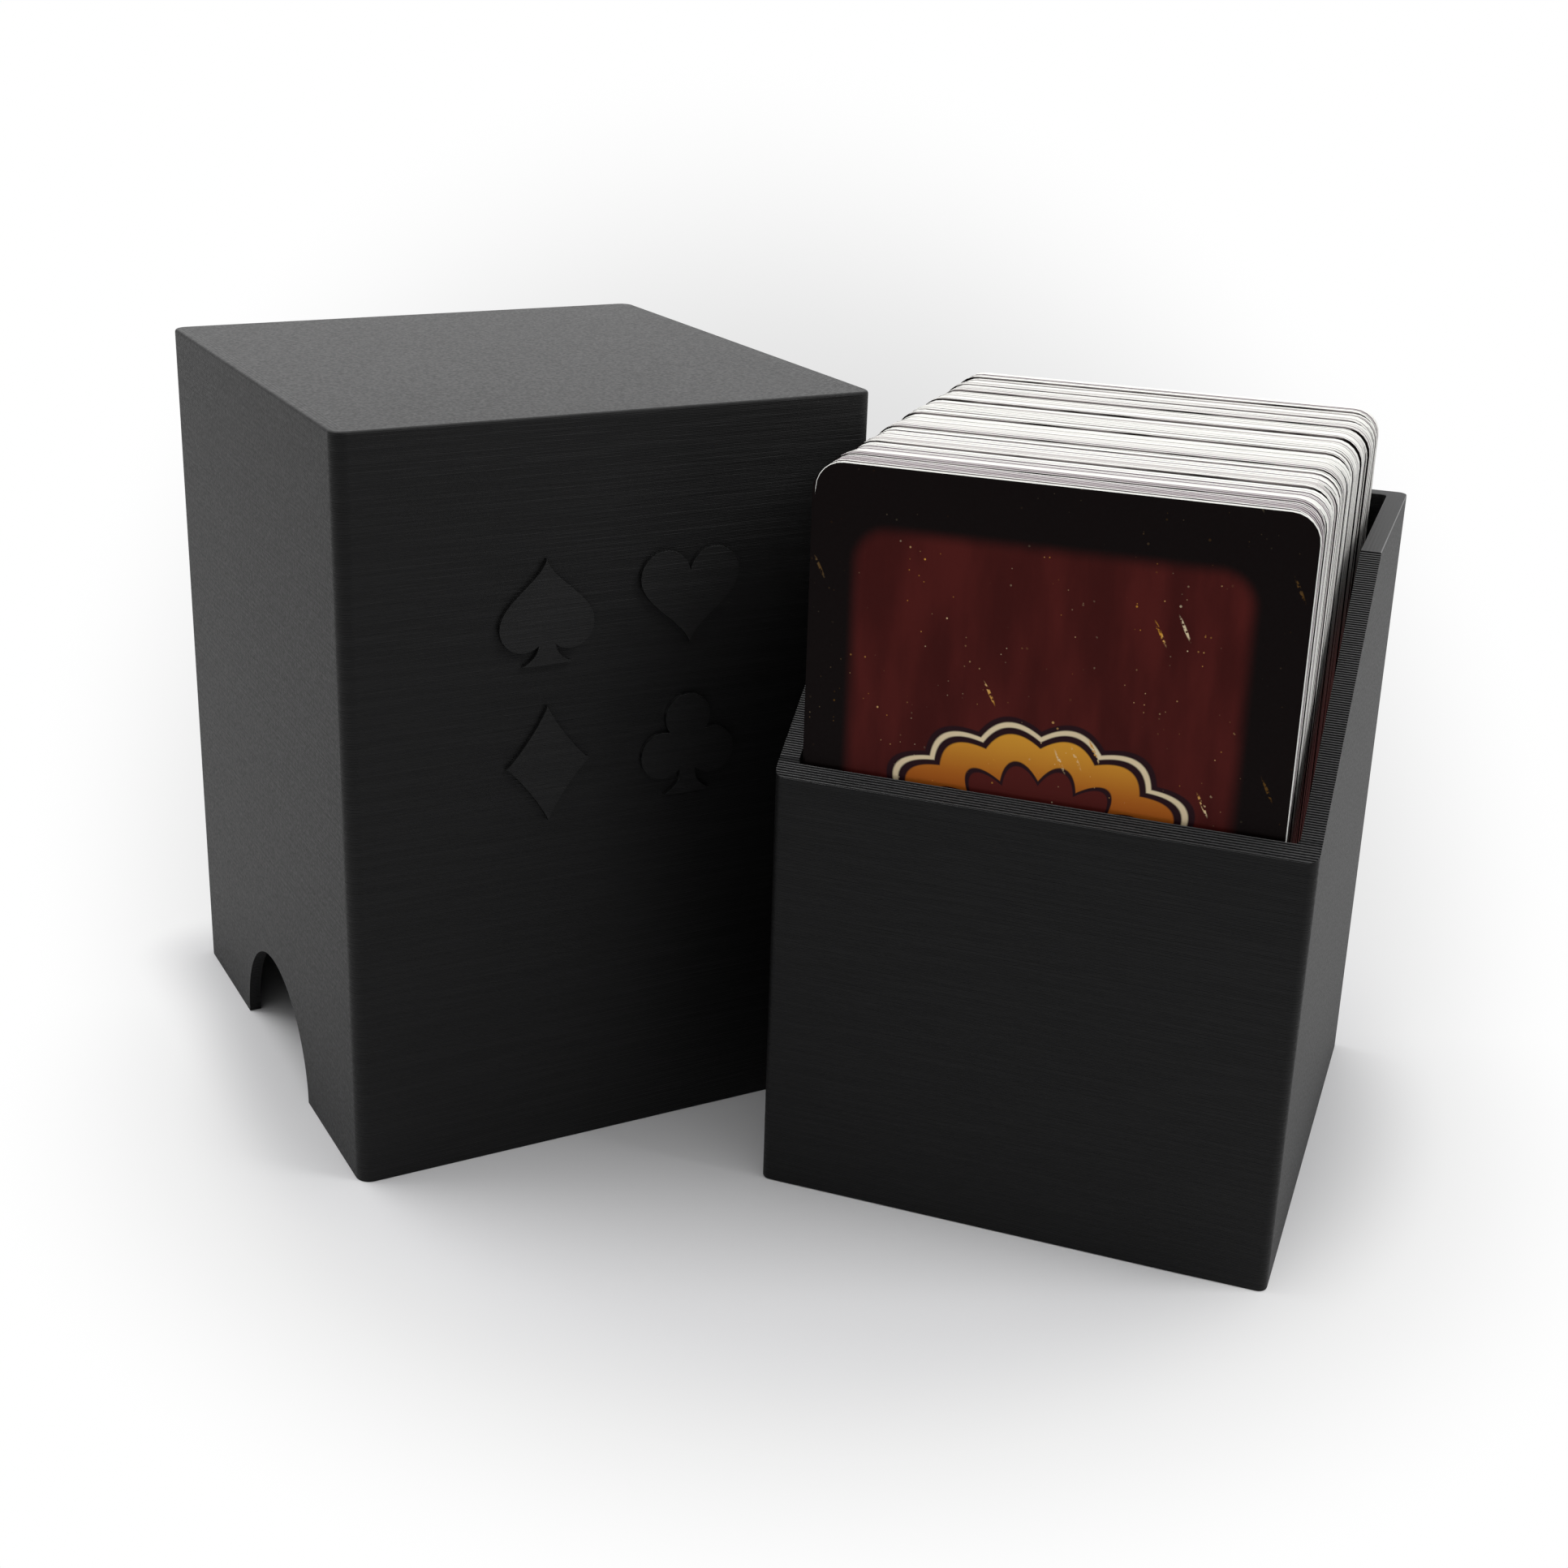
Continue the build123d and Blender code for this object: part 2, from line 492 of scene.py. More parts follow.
# %% [markdown]
# The black plastic is one finish with three variants, for the tray, the cover and the relief.
# The colour is nearly black, a touch lighter on proud layers. An upward face is a last layer: the
# nozzle first follows its rim a few times and then fills the rest with slanted runs side by side,
# so there the level ridges give way to drawn lines, and a little dust has settled on it. The round
# nose of a bead is smooth and shines more than the ridged walls do, as if it had a clear coat.

# %% Black printed plastic
PRINT_DARK = (0.0045, 0.0045, 0.0047, 1)
PRINT_PROUD = (0.0105, 0.0105, 0.0108, 1)
PRINT_DUST = (0.052, 0.052, 0.053, 1)
LINE_WIDTH = 0.42 * MM
RIM_LINES = 5
RIDGE_HEIGHT = 0.025 * MM
STREAK_SHARE, LINE_SHARE, GRAIN_SHARE = 1.4, 0.25, 0.35
TOP_FROM, DUST_FROM = (0.8, 0.95), (0.95, 0.995)
BEAD_FROM, BEAD_TO = (0.1, 0.35), (0.93, 0.99)
WALL_SHINE, RELIEF_SHINE = 0.22, 0.29
PLASTIC_IOR, COAT_IOR = 1.45, 1.9
PLASTIC_ROUGH, COAT_ROUGH = (0.46, 0.60), 0.53
BEAD_POLISH = 0.21
tray_half = (tray_high - tray_low) / 2


def new_material(name):
    """A material with its tree and its shader."""
    material = bpy.data.materials.new(name)
    material.use_nodes = True
    return material, material.node_tree, material.node_tree.nodes["Principled BSDF"]


def put(tree, group, inputs):
    """A node group placed in a material with its own values."""
    return place(tree, "Group", inputs, node_tree=group).outputs


def drawn_lines(tree, spot, middle, half, turn):
    """Lines of the nozzle on an upward face: some along the rim, slanted runs within."""
    local, inset = inset_from(tree, spot, middle, half, turn)
    inset = axes(tree, inset)
    to_rim = calc(tree, "MINIMUM", inset["X"], inset["Y"])
    flat = axes(tree, local)
    slanted = calc(tree, "MULTIPLY", calc(tree, "ADD", flat["X"], flat["Y"]), cos(pi / 4))
    beyond = calc(tree, "GREATER_THAN", to_rim, RIM_LINES * LINE_WIDTH)
    across = place(tree, "Mix", {0: beyond, 2: to_rim, 3: slanted}).outputs[0]
    return calc(tree, "SINE", calc(tree, "MULTIPLY", across, tau / LINE_WIDTH))


def black_plastic(
    name, seed, middle, half, turn, top_gloss=0, top_dust=0, bead_shine=0, wall_shine=WALL_SHINE
):
    """Layer-printed black plastic: level ridges on walls, drawn lines on upward faces."""
    material, tree, shader = new_material(name)
    spot = place(tree, "TexCoord").outputs["Object"]
    layers = put(tree, layer_lines, {"Place": spot, "Layer": LAYER, "Seed": seed})
    grain = put(tree, fine_grain, {"Place": spot, "Scale": GRAIN})
    lines = drawn_lines(tree, spot, middle, half, turn)
    upward = axes(tree, place(tree, "NewGeometry").outputs["Normal"])["Z"]
    on_top = ramp(tree, upward, *TOP_FROM)
    wall = calc(tree, "MULTIPLY_ADD", layers["Streak"], STREAK_SHARE, layers["Ridge"])
    top = calc(tree, "MULTIPLY", lines, LINE_SHARE)
    height = place(tree, "Mix", {0: on_top, 2: wall, 3: top}).outputs[0]
    height = calc(tree, "MULTIPLY_ADD", grain["Mottle"], GRAIN_SHARE, height)
    bump = place(tree, "Bump", {"Height": height, "Distance": RIDGE_HEIGHT, "Strength": 1.0})
    proud = calc(tree, "MULTIPLY", layers["Streak"], grain["Mottle"])
    dust = calc(tree, "MULTIPLY", ramp(tree, grain["Mottle"], 0.2, 0.7), top_dust)
    dust = calc(tree, "MULTIPLY", dust, ramp(tree, upward, *DUST_FROM))
    colour = mix(tree, dust, mix(tree, proud, PRINT_DARK, PRINT_PROUD), PRINT_DUST)
    tilted, level = ramp(tree, upward, *BEAD_FROM), ramp(tree, upward, *BEAD_TO)
    on_bead = calc(tree, "SUBTRACT", tilted, level)
    rough = ramp(tree, grain["Mottle"], 0.25, 0.75, *PLASTIC_ROUGH)
    rough = calc(tree, "SUBTRACT", rough, calc(tree, "MULTIPLY", on_top, top_gloss))
    polish = calc(tree, "MULTIPLY", on_bead, BEAD_POLISH * bead_shine)
    rough = calc(tree, "SUBTRACT", rough, polish)
    tree.links.new(colour, shader.inputs["Base Color"])
    tree.links.new(rough, shader.inputs["Roughness"])
    tree.links.new(bump.outputs[0], shader.inputs["Normal"])
    shader.inputs["Specular IOR Level"].default_value = wall_shine
    shader.inputs["IOR"].default_value = PLASTIC_IOR
    if bead_shine:
        tree.links.new(calc(tree, "MULTIPLY", on_bead, bead_shine), shader.inputs["Coat Weight"])
        shader.inputs["Coat IOR"].default_value = COAT_IOR
        shader.inputs["Coat Roughness"].default_value = COAT_ROUGH - BEAD_POLISH * bead_shine
    return material


tray_block = (Vector(), tray_half, 0)
cover_block = (cover_spot, cover_half, COVER_TURN)
tray_plastic = black_plastic(
    "tray_plastic", 1.0, *tray_block, top_gloss=0.02, top_dust=0.9, bead_shine=0.6
)
cover_plastic = black_plastic("cover_plastic", 2.0, *cover_block, top_gloss=0.15)
relief_plastic = black_plastic(
    "relief_plastic", 3.0, *cover_block, bead_shine=1.0, wall_shine=RELIEF_SHINE
)
print("plastics made:", tray_plastic.name, cover_plastic.name, relief_plastic.name)

# %% [markdown]
# The tray is built as the printer builds it. A rounded block rises to the height of the low
# front. Then, layer by layer, the top face is cut a little further back and the rear part is
# raised, which leaves the fine stairs that show on the sloped mouth. The cavity is cut next. A
# layer is a bead of plastic with a round side, so the nose of every stair is rounded at the end,
# and it is the noses that catch the light as fine lines.

# %% Print the tray
TRAY_CORNER = 1.2 * MM
CAVITY_CORNER = 0.6 * MM
EDGE_ROUND = 0.15 * MM
NOSE_ROUND = 0.1 * MM
STEEP = radians(60)
CORNER_SEGMENTS = 6
SPARE = 1.0 * MM
block_top = Vector((tray_high.x, tray_high.y, front_height))
tray = rounded_block("printed_tray", tray_low, block_top, TRAY_CORNER, CORNER_SEGMENTS)
layer_count = round((tray_high.z - front_height) / LAYER)
step_rise = (tray_high.z - front_height) / layer_count
step_run = (shelf_front - tray_low.y) / layer_count


def is_top(level, front):
    """A test for faces that look up, at or above a level and behind a place along Y."""

    def test(face):
        middle = face.calc_center_median()
        return face.normal.z > 0.9 and middle.z > level - TOUCH and middle.y > front

    return test


with editing(tray):
    for step in range(layer_count):
        level = front_height + step * step_rise
        nose = tray_low.y + (step + 0.5) * step_run
        pick(tray, "faces", is_top(level, tray_low.y))
        bpy.ops.mesh.bisect(plane_co=(0, nose, 0), plane_no=(0, 1, 0))
        pick(tray, "faces", is_top(level, nose))
        push(z=step_rise)
cavity_top = Vector((cavity_high.x, cavity_high.y, tray_high.z + SPARE))
cavity = rounded_block("cavity", cavity_low, cavity_top, CAVITY_CORNER, CORNER_SEGMENTS)
carve(tray, cavity)


def on_level(edge, level):
    """Whether an edge lies at a level."""
    return all(abs(vertex.co.z - level) < TOUCH for vertex in edge.verts)


def is_rim(edge):
    """Upper edges of the walls, without the stair noses, and the edges of the underside."""
    if len(edge.link_faces) != 2 or edge.calc_face_angle() < STEEP:
        return False
    behind = max(vertex.co.y for vertex in edge.verts) > shelf_front + TOUCH
    return on_level(edge, tray_low.z) or (behind and on_level(edge, tray_high.z))


def is_nose(edge):
    """Edges across the tray at the front of a stair."""
    first, second = (vertex.co for vertex in edge.verts)
    level = abs(first.y - second.y) < TOUCH and abs(first.z - second.z) < TOUCH
    on_slope = first.z > front_height - TOUCH and first.y < shelf_front + TOUCH
    return level and on_slope and edge.is_convex and edge.calc_face_angle(0) > STEEP


with editing(tray, "EDGE"):
    rim_count = pick(tray, "edges", is_rim)
    bpy.ops.mesh.bevel(offset=EDGE_ROUND, segments=2, affect="EDGES")
    nose_count = pick(tray, "edges", is_nose)
    bpy.ops.mesh.bevel(offset=NOSE_ROUND, segments=3, affect="EDGES")
finish_piece(tray, [tray_plastic], "tray")
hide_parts("tray")
print(layer_count, "stairs of", round(step_rise / MM, 3), "mm")
print(nose_count, "noses and", rim_count, "rim edges rounded")

# %% [markdown]
# The cover is a thin shell, closed at the top. It is carved from a rounded block: first the
# hollow that slips over the tray and the cards, then one long cylinder that cuts the thumb
# notches through both sides at once. It is modelled square to the axes, where faces are easy to
# pick, and turned to its place at the end.

# %% Print the cover
COVER_CORNER = 1.9 * MM
COVER_SEGMENTS = 8
TOP_ROUND = 0.4 * MM
HOLLOW_CORNER = 0.6 * MM
NOTCH_RADIUS = 14.5 * MM
NOTCH_SEGMENTS = 96
cover_top = cover_high.z


def column(half, top):
    """Lowest and highest corner of an upright block about the Z axis."""
    return Vector((-half.x, -half.y, 0)), Vector((half.x, half.y, top))


cover_corners = column(cover_half, cover_top)
cover = rounded_block("printed_cover", *cover_corners, COVER_CORNER, COVER_SEGMENTS)
hollow_low, hollow_high = column(hollow_half, cover_middle.z + ceiling)
hollow_low.z = -SPARE
carve(cover, rounded_block("hollow", hollow_low, hollow_high, HOLLOW_CORNER, CORNER_SEGMENTS))
notch = new_piece(
    bpy.ops.mesh.primitive_cylinder_add,
    "notch",
    vertices=NOTCH_SEGMENTS,
    radius=NOTCH_RADIUS,
    depth=4 * cover_half.x,
    rotation=(0, pi / 2, 0),
)
settle(notch)
carve(cover, notch)
with editing(cover, "EDGE"):
    pick(cover, "edges", lambda edge: on_level(edge, cover_top))
    bpy.ops.mesh.bevel(offset=TOP_ROUND, segments=4, affect="EDGES")
soften(cover, EDGE_ROUND, 2)


def stand_beside(piece):
    """Turn a piece of the cover and move it to where the cover stands beside the tray."""
    piece.rotation_euler.z = COVER_TURN
    piece.location = (cover_middle.x, cover_middle.y, 0)
    settle(piece)


stand_beside(cover)
finish_piece(cover, [cover_plastic], "cover")
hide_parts("cover")
print("cover stands", round(-cover_middle.x / MM, 2), "mm to the left of the tray's middle")

# %% [markdown]
# A relief of the four suits stands on the wide face of the cover. Their outlines come first, each
# as a function that gives the place on the rim for a turn about the middle. A heart follows a
# formula, a spade is a heart upside down with a foot, a club is discs with a foot, and a diamond
# has four hollow sides.

# %% Outlines of the suits
CLUB_DISCS = ((0.0, 0.52, 0.46), (-0.5, -0.2, 0.46), (0.5, -0.2, 0.46), (0.0, 0.05, 0.3))


def heart_rim(turn):
    """A heart, with its tip at half a turn."""
    across = sin(turn) ** 3
    up = (13 * cos(turn) - 5 * cos(2 * turn) - 2 * cos(3 * turn) - cos(4 * turn)) / 16
    return across, up + 0.15


def spade_rim(turn):
    """A heart upside down, a little slimmer."""
    across, up = heart_rim(turn)
    return 0.92 * across, 0.12 - 0.95 * up


def diamond_rim(turn):
    """A diamond with hollow sides."""
    across = copysign(abs(sin(turn)) ** 2.3, sin(turn))
    up = copysign(abs(cos(turn)) ** 2.3, cos(turn))
    return 0.82 * across, 1.12 * up


def foot_rim(turn):
    """A stem that spreads at its foot."""
    spread = 0.16 + 0.34 * max(0.0, -cos(turn)) ** 3
    across = copysign(spread * min(1.0, 6 * abs(sin(turn))), sin(turn))
    return across, -0.5 + 0.5 * cos(turn)


def disc_rim(middle_x, middle_z, radius):
    """The outline of a disc."""
    return lambda turn: (middle_x + radius * sin(turn), middle_z + radius * cos(turn))


SUITS = (
    (spade_rim, foot_rim),
    (heart_rim,),
    (diamond_rim,),
    (*(disc_rim(*disc) for disc in CLUB_DISCS), foot_rim),
)
print(len(SUITS), "suits of", [len(outlines) for outlines in SUITS], "outlines")

# %% [markdown]
# Each plate of a suit starts as a disc whose rim is moved onto an outline and is extruded. Two
# plates whose faces lie in one plane are hard to fuse cleanly, so they are made uneven, fused,
# and bisected at the height of the relief. The edges are softened, as a nozzle would leave them.

# %% Raise the suits
RELIEF = 0.6 * MM
RELIEF_ROUND = 0.25 * MM
RELIEF_ROOT = 0.3 * MM
SUIT_SIZE = 6.6 * MM
SUIT_SPREAD = (9.4 * MM, 9.6 * MM)
RELIEF_LEVEL = 62.0 * MM
RIM_POINTS = 64


def suit_plate(outline, spare):
    """A plate across the cover's face, with its rim on an outline of unit size."""
    plate = new_piece(
        bpy.ops.mesh.primitive_circle_add, "suit", vertices=RIM_POINTS, fill_type="NGON", radius=1
    )
    with editing(plate):
        shape = bmesh.from_edit_mesh(plate.data)
        for rank, vertex in enumerate(shape.verts):
            across, up = outline(tau * rank / RIM_POINTS)
            vertex.co = Vector((across * SUIT_SIZE, RELIEF_ROOT + spare, up * SUIT_SIZE))
        bmesh.update_edit_mesh(plate.data)
        select_all()
        bpy.ops.mesh.remove_doubles(threshold=TOUCH)
        select_all()
        push(y=-RELIEF - RELIEF_ROOT - 2 * spare)
        face_outwards()
    return plate


def suit(outlines):
    """One suit, fused from plates of uneven depth and then cut flat before and behind."""
    body, *others = [suit_plate(outline, rank * SPARE) for rank, outline in enumerate(outlines, 1)]
    for other in others:
        carve(body, other, "UNION")
    with editing(body):
        for level, way in ((-RELIEF, -1), (RELIEF_ROOT, 1)):
            select_all()
            bpy.ops.mesh.bisect(
                plane_co=(0, level, 0), plane_no=(0, way, 0), use_fill=True, clear_outer=True
            )
        face_outwards()
    return body


suits = [suit(outlines) for outlines in SUITS]
for rank, piece in enumerate(suits):
    side, row = (-1, 1)[rank % 2], (1, -1)[rank // 2]
    up = RELIEF_LEVEL + row * SUIT_SPREAD[1]
    piece.location = (side * SUIT_SPREAD[0], -cover_half.y, up)
    settle(piece)
relief = join_pieces(suits, "suit_relief")
soften(relief, RELIEF_ROUND, 4)
stand_beside(relief)
finish_piece(relief, [relief_plastic], "cover")

# %% [markdown]
# A card is cream stock with a print on each side. Where the deck is cut, the stock shows. Each
# card is a slightly different white, and the cut edges of a few are painted dark: painted shade,
# lines that stand in for the shade between uneven cards. The tint is a number that every card
# carries as an attribute of its mesh, so one material serves them all. Deep in the tray the edges
# carry painted shadow: a slight red tint in their colour and a faint red glow, which stand in for
# the dark red shade that the tray's walls cast on the deck.

# %% Cut edges of the cards
STOCK_PALE = (0.85, 0.85, 0.81, 1)
STOCK_DULL = (0.38, 0.34, 0.34, 1)
# Painted shade: the dark colour of the cut edges that draw shade lines between cards.
PAINTED_SHADE_LINE = (0.11, 0.075, 0.10, 1)
# Painted shadow: the red that tints the edges below the line of the tray's walls and makes them
# glow.
PAINTED_SHADOW_RED = (0.62, 0.22, 0.21, 1)
PAINTED_SHADOW_LOW, PAINTED_SHADOW_HIGH = -22 * MM, -4 * MM
PAINTED_SHADOW_SHARE, PAINTED_GLOW_STRENGTH = 0.15, 0.055
SHADE_LINE_FROM = (0.96, 0.98)
NO_LIGHT = (0, 0, 0, 1)
STOCK_ROUGH, STOCK_SHINE = (0.7, 0.85), 0.3
FIBRE_HEIGHT = 0.01 * MM


def tint_of(tree):
    """The number that every card carries in its mesh."""
    return place(tree, "Attribute", attribute_name="card_tint").outputs["Fac"]


stock_with_painted_shade, tree, shader = new_material("cut_card_stock_painted_shade")
spot = place(tree, "TexCoord").outputs["Object"]
grain = put(tree, fine_grain, {"Place": spot, "Scale": GRAIN})
tint = tint_of(tree)
dull = calc(tree, "MULTIPLY", ramp(tree, tint, 0.5, 1.0), 0.75)
dull = calc(tree, "ADD", dull, calc(tree, "MULTIPLY", grain["Mottle"], 0.12))
spots = axes(tree, spot)
# Painted shadow: a mask that grows below the top of the tray's wall, where its shadow falls on the
# deck.
slope = {"Value": spots["Y"], 1: tray_low.y, 2: shelf_front, 3: front_height, 4: tray_high.z}
wall_top = place(tree, "MapRange", slope).outputs["Result"]
above = calc(tree, "SUBTRACT", spots["Z"], wall_top)
painted_shadow_mask = ramp(tree, above, PAINTED_SHADOW_LOW, PAINTED_SHADOW_HIGH, 1.0, 0.0)
white = mix(tree, dull, STOCK_PALE, STOCK_DULL)
# Painted shade lines on the cut edges of a few cards.
white = mix(tree, ramp(tree, tint, *SHADE_LINE_FROM), white, PAINTED_SHADE_LINE)
stock = mix(tree, calc(tree, "MULTIPLY", painted_shadow_mask, PAINTED_SHADOW_SHARE), white, PAINTED_SHADOW_RED)
tree.links.new(stock, shader.inputs["Base Color"])
# A faint red glow where the painted shadow lies, though the card is no lamp.
tree.links.new(mix(tree, painted_shadow_mask, NO_LIGHT, PAINTED_SHADOW_RED), shader.inputs["Emission Color"])
shader.inputs["Emission Strength"].default_value = PAINTED_GLOW_STRENGTH
fibre = {"Height": grain["Mottle"], "Distance": FIBRE_HEIGHT, "Strength": 0.6}
tree.links.new(place(tree, "Bump", fibre).outputs[0], shader.inputs["Normal"])
tree.links.new(ramp(tree, grain["Mottle"], 0.3, 0.7, *STOCK_ROUGH), shader.inputs["Roughness"])
shader.inputs["Specular IOR Level"].default_value = STOCK_SHINE
print(stock_with_painted_shade.name, "has", len(tree.nodes), "nodes")

# %% [markdown]
# Both prints are drawn in millimetres on the card itself, from its own UV map, so that the
# pattern is the same wherever the card stands. A soft-edged rounded panel is the base of both
# and becomes a group. Its mask is the distance to a rounded rectangle, faded over a small width.

# %% A rounded panel for the prints
panel_mask, given, result = new_group(
    "rounded_panel",
    {"Place": "Vector", "Half": "Vector", "Corner": "Float", "Soft": "Float"},
    ("Inside",),
)
tree = panel_mask
corner = place(tree, "CombineXYZ", {"X": given["Corner"], "Y": given["Corner"]}).outputs[0]
core = vector(tree, "SUBTRACT", given["Half"], corner)
beyond = vector(tree, "SUBTRACT", vector(tree, "ABSOLUTE", given["Place"]), core)
reach = length(tree, vector(tree, "MAXIMUM", beyond, (0, 0, 0)))
start = calc(tree, "SUBTRACT", given["Corner"], given["Soft"])
tree.links.new(ramp(tree, reach, start, given["Corner"], 1.0, 0.0), result["Inside"])
print(panel_mask.name, "has", len(panel_mask.nodes), "nodes")

# %% [markdown]
# Old-looking prints carry specks and short scratches where the ink seems rubbed away. They are
# a few cells of a Voronoi pattern, kept by chance and thinned by a coarser cloud, once as dots
# of many sizes and once turned and stretched into steep strokes that a finer noise breaks up.

# %% Rubbed ink
CLOUD_SCALE, DOT_SCALE, BREAK_SCALE = 0.11, 1.7, 2.6
DOT_LEAST, DOT_MORE, DOT_SOFT = 0.05, 0.17, 0.1
DOT_SHARE = 0.7
STROKE_TURN = radians(-63)
STROKE_CELL = (10.0, 1.2, 1)
STROKE_WIDTH = (0.08, 0.18)
rubbed_ink, given, result = new_group(
    "rubbed_ink", {"Place": "Vector", "Amount": "Float"}, ("Dots", "Strokes")
)
tree = rubbed_ink
seen = {"Vector": given["Place"]}
cloud = place(tree, "TexNoise", {**seen, "Scale": CLOUD_SCALE, "Detail": 2.0})
patch = ramp(tree, cloud.outputs["Fac"], 0.42, 0.62)
flat = {"voronoi_dimensions": "2D"}
dots = place(tree, "TexVoronoi", {**seen, "Scale": DOT_SCALE}, **flat)
chances = place(tree, "SeparateColor", {0: dots.outputs["Color"]}).outputs
width = calc(tree, "MULTIPLY", calc(tree, "POWER", chances["Green"], 4.0), DOT_MORE)
inner = calc(tree, "ADD", width, DOT_LEAST)
outer = calc(tree, "ADD", inner, DOT_SOFT)
dot = ramp(tree, dots.outputs["Distance"], inner, outer, 1.0, 0.0)
dot = calc(tree, "MULTIPLY", dot, ramp(tree, chances["Blue"], 0.0, 1.0, 0.2, 1.0))
share = calc(tree, "MULTIPLY", given["Amount"], DOT_SHARE)
kept = calc(tree, "LESS_THAN", chances["Red"], share)
dot = calc(tree, "MULTIPLY", calc(tree, "MULTIPLY", dot, kept), patch)
tree.links.new(dot, result["Dots"])
slant = place(
    tree,
    "Mapping",
    {**seen, "Rotation": (0, 0, STROKE_TURN), "Scale": STROKE_CELL},
    vector_type="TEXTURE",
).outputs[0]
strokes = place(tree, "TexVoronoi", {"Vector": slant, "Scale": 1.0}, **flat)
stroke = ramp(tree, strokes.outputs["Distance"], *STROKE_WIDTH, 1.0, 0.0)
chances = place(tree, "SeparateColor", {0: strokes.outputs["Color"]}).outputs
few = calc(tree, "LESS_THAN", chances["Red"], given["Amount"])
breaks = place(tree, "TexNoise", {**seen, "Scale": BREAK_SCALE, "Detail": 1.0})
broken = ramp(tree, breaks.outputs["Fac"], 0.42, 0.56)
stroke = calc(tree, "MULTIPLY", calc(tree, "MULTIPLY", stroke, few), broken)
tree.links.new(stroke, result["Strokes"])
print(rubbed_ink.name, "has", len(rubbed_ink.nodes), "nodes")

# %% [markdown]
# The back of the cards is nearly black at the border, with a dark red panel that fades in, pale
# specks, and a gold rosette in the middle, of which the tray's front hides all but the top. The
# rosette is drawn in polar form: rings by the distance from the middle, petals by the angle. The
# uppermost rim of the cards within the deck is rubbed pale in places.

# %% Print on the card backs
BORDER_INK = (0.0042, 0.0019, 0.0019, 1)
PANEL_INK = (0.085, 0.0115, 0.0095, 1)
PANEL_DEEP = (0.052, 0.0065, 0.0055, 1)
CREAM_INK = (0.80, 0.66, 0.43, 1)
GOLD_INK = (0.70, 0.33, 0.035, 1)
AMBER_INK = (0.42, 0.11, 0.012, 1)
SHADE_INK = (0.020, 0.006, 0.009, 1)
PANEL = {"Half": (23.4, 37.2, 0), "Corner": 5.0, "Soft": 2.2}
PANEL_SHIFT = (-0.45, 0, 0)
LINEN = 3.0
LINEN_HEIGHT = 0.008 * MM
FOLD_STRETCH = (0.2, 0.05, 0)
ROSETTE_STRETCH = (0.8, 1, 1)
PETALS = 8.0
GILT_RISE = (7.0, 15.0)
RUBBED_RIM = (0.35, 0.05)
RUB_SPREAD = 900.0
INK_ROUGH, BACK_SHINE = (0.42, 0.55), 0.06
CARD_IN_MM = (card_size.x / MM, card_size.z / MM, 1)


def card_place(tree):
    """Place on the card in millimetres from its middle, from the card's UV map."""
    uv = place(tree, "UVMap", uv_map="card").outputs["UV"]
    return vector(tree, "MULTIPLY", vector(tree, "SUBTRACT", uv, (0.5, 0.5, 0)), CARD_IN_MM)


def within(tree, reach, radius, soft=0.12):
    """1 inside a radius in millimetres, with a slightly soft rim."""
    start = calc(tree, "SUBTRACT", radius, soft)
    return ramp(tree, reach, start, calc(tree, "ADD", radius, soft), 1.0, 0.0)


card_back, tree, shader = new_material("card_back_print")
spot = card_place(tree)
panel = put(tree, panel_mask, {"Place": vector(tree, "SUBTRACT", spot, PANEL_SHIFT), **PANEL})
grain = put(tree, fine_grain, {"Place": spot, "Scale": LINEN})
folds = vector(tree, "MULTIPLY", spot, FOLD_STRETCH)
broad = place(tree, "TexNoise", {"Vector": folds, "Scale": 1.0, "Detail": 5.0}).outputs["Fac"]
red = mix(tree, ramp(tree, broad, 0.35, 0.68), PANEL_DEEP, PANEL_INK)
colour = mix(tree, panel["Inside"], BORDER_INK, red)
rubs = put(tree, rubbed_ink, {"Place": spot, "Amount": 0.07})
rubbed = calc(tree, "MAXIMUM", rubs["Dots"], rubs["Strokes"])
rubbed = calc(tree, "MULTIPLY", rubbed, ramp(tree, panel["Inside"], 0.0, 1.0, 0.14, 1.0))
wide = vector(tree, "MULTIPLY", spot, ROSETTE_STRETCH)
reach, apart = length(tree, wide), axes(tree, wide)
angle = calc(tree, "ARCTAN2", apart["X"], apart["Y"])
petal = calc(tree, "ABSOLUTE", calc(tree, "SINE", calc(tree, "MULTIPLY", angle, PETALS)))
gilt = mix(tree, ramp(tree, apart["Y"], *GILT_RISE), AMBER_INK, GOLD_INK)
# Rings from the outside in: the radius, how far a petal swells it, and the ink
for radius, swell, ink in (
    (15.2, 1.5, SHADE_INK),
    (14.5, 1.5, CREAM_INK),
    (13.9, 1.5, SHADE_INK),
    (13.1, 1.5, gilt),
    (9.2, 2.2, SHADE_INK),
    (8.6, 2.2, PANEL_INK),
    (5.0, 0.0, gilt),
):
    rim = calc(tree, "MULTIPLY_ADD", petal, swell, radius)
    colour = mix(tree, within(tree, reach, rim), colour, ink)
bare = mix(tree, ramp(tree, broad, 0.4, 0.6), CREAM_INK, GOLD_INK)
colour = mix(tree, rubbed, colour, bare)
spots = axes(tree, spot)
tint = tint_of(tree)
own_rim = {"X": spots["X"], "Y": calc(tree, "MULTIPLY", tint, RUB_SPREAD)}
along_rim = place(tree, "CombineXYZ", own_rim).outputs[0]
wear = place(tree, "TexNoise", {"Vector": along_rim, "Scale": 0.09, "Detail": 3.0}).outputs["Fac"]
in_deck = ramp(tree, tint, 0.0, 0.02)
worn = calc(tree, "MULTIPLY", ramp(tree, wear, 0.32, 0.58), in_deck)
rim = ramp(tree, spots["Y"], *(CARD_IN_MM[1] / 2 - below for below in RUBBED_RIM))
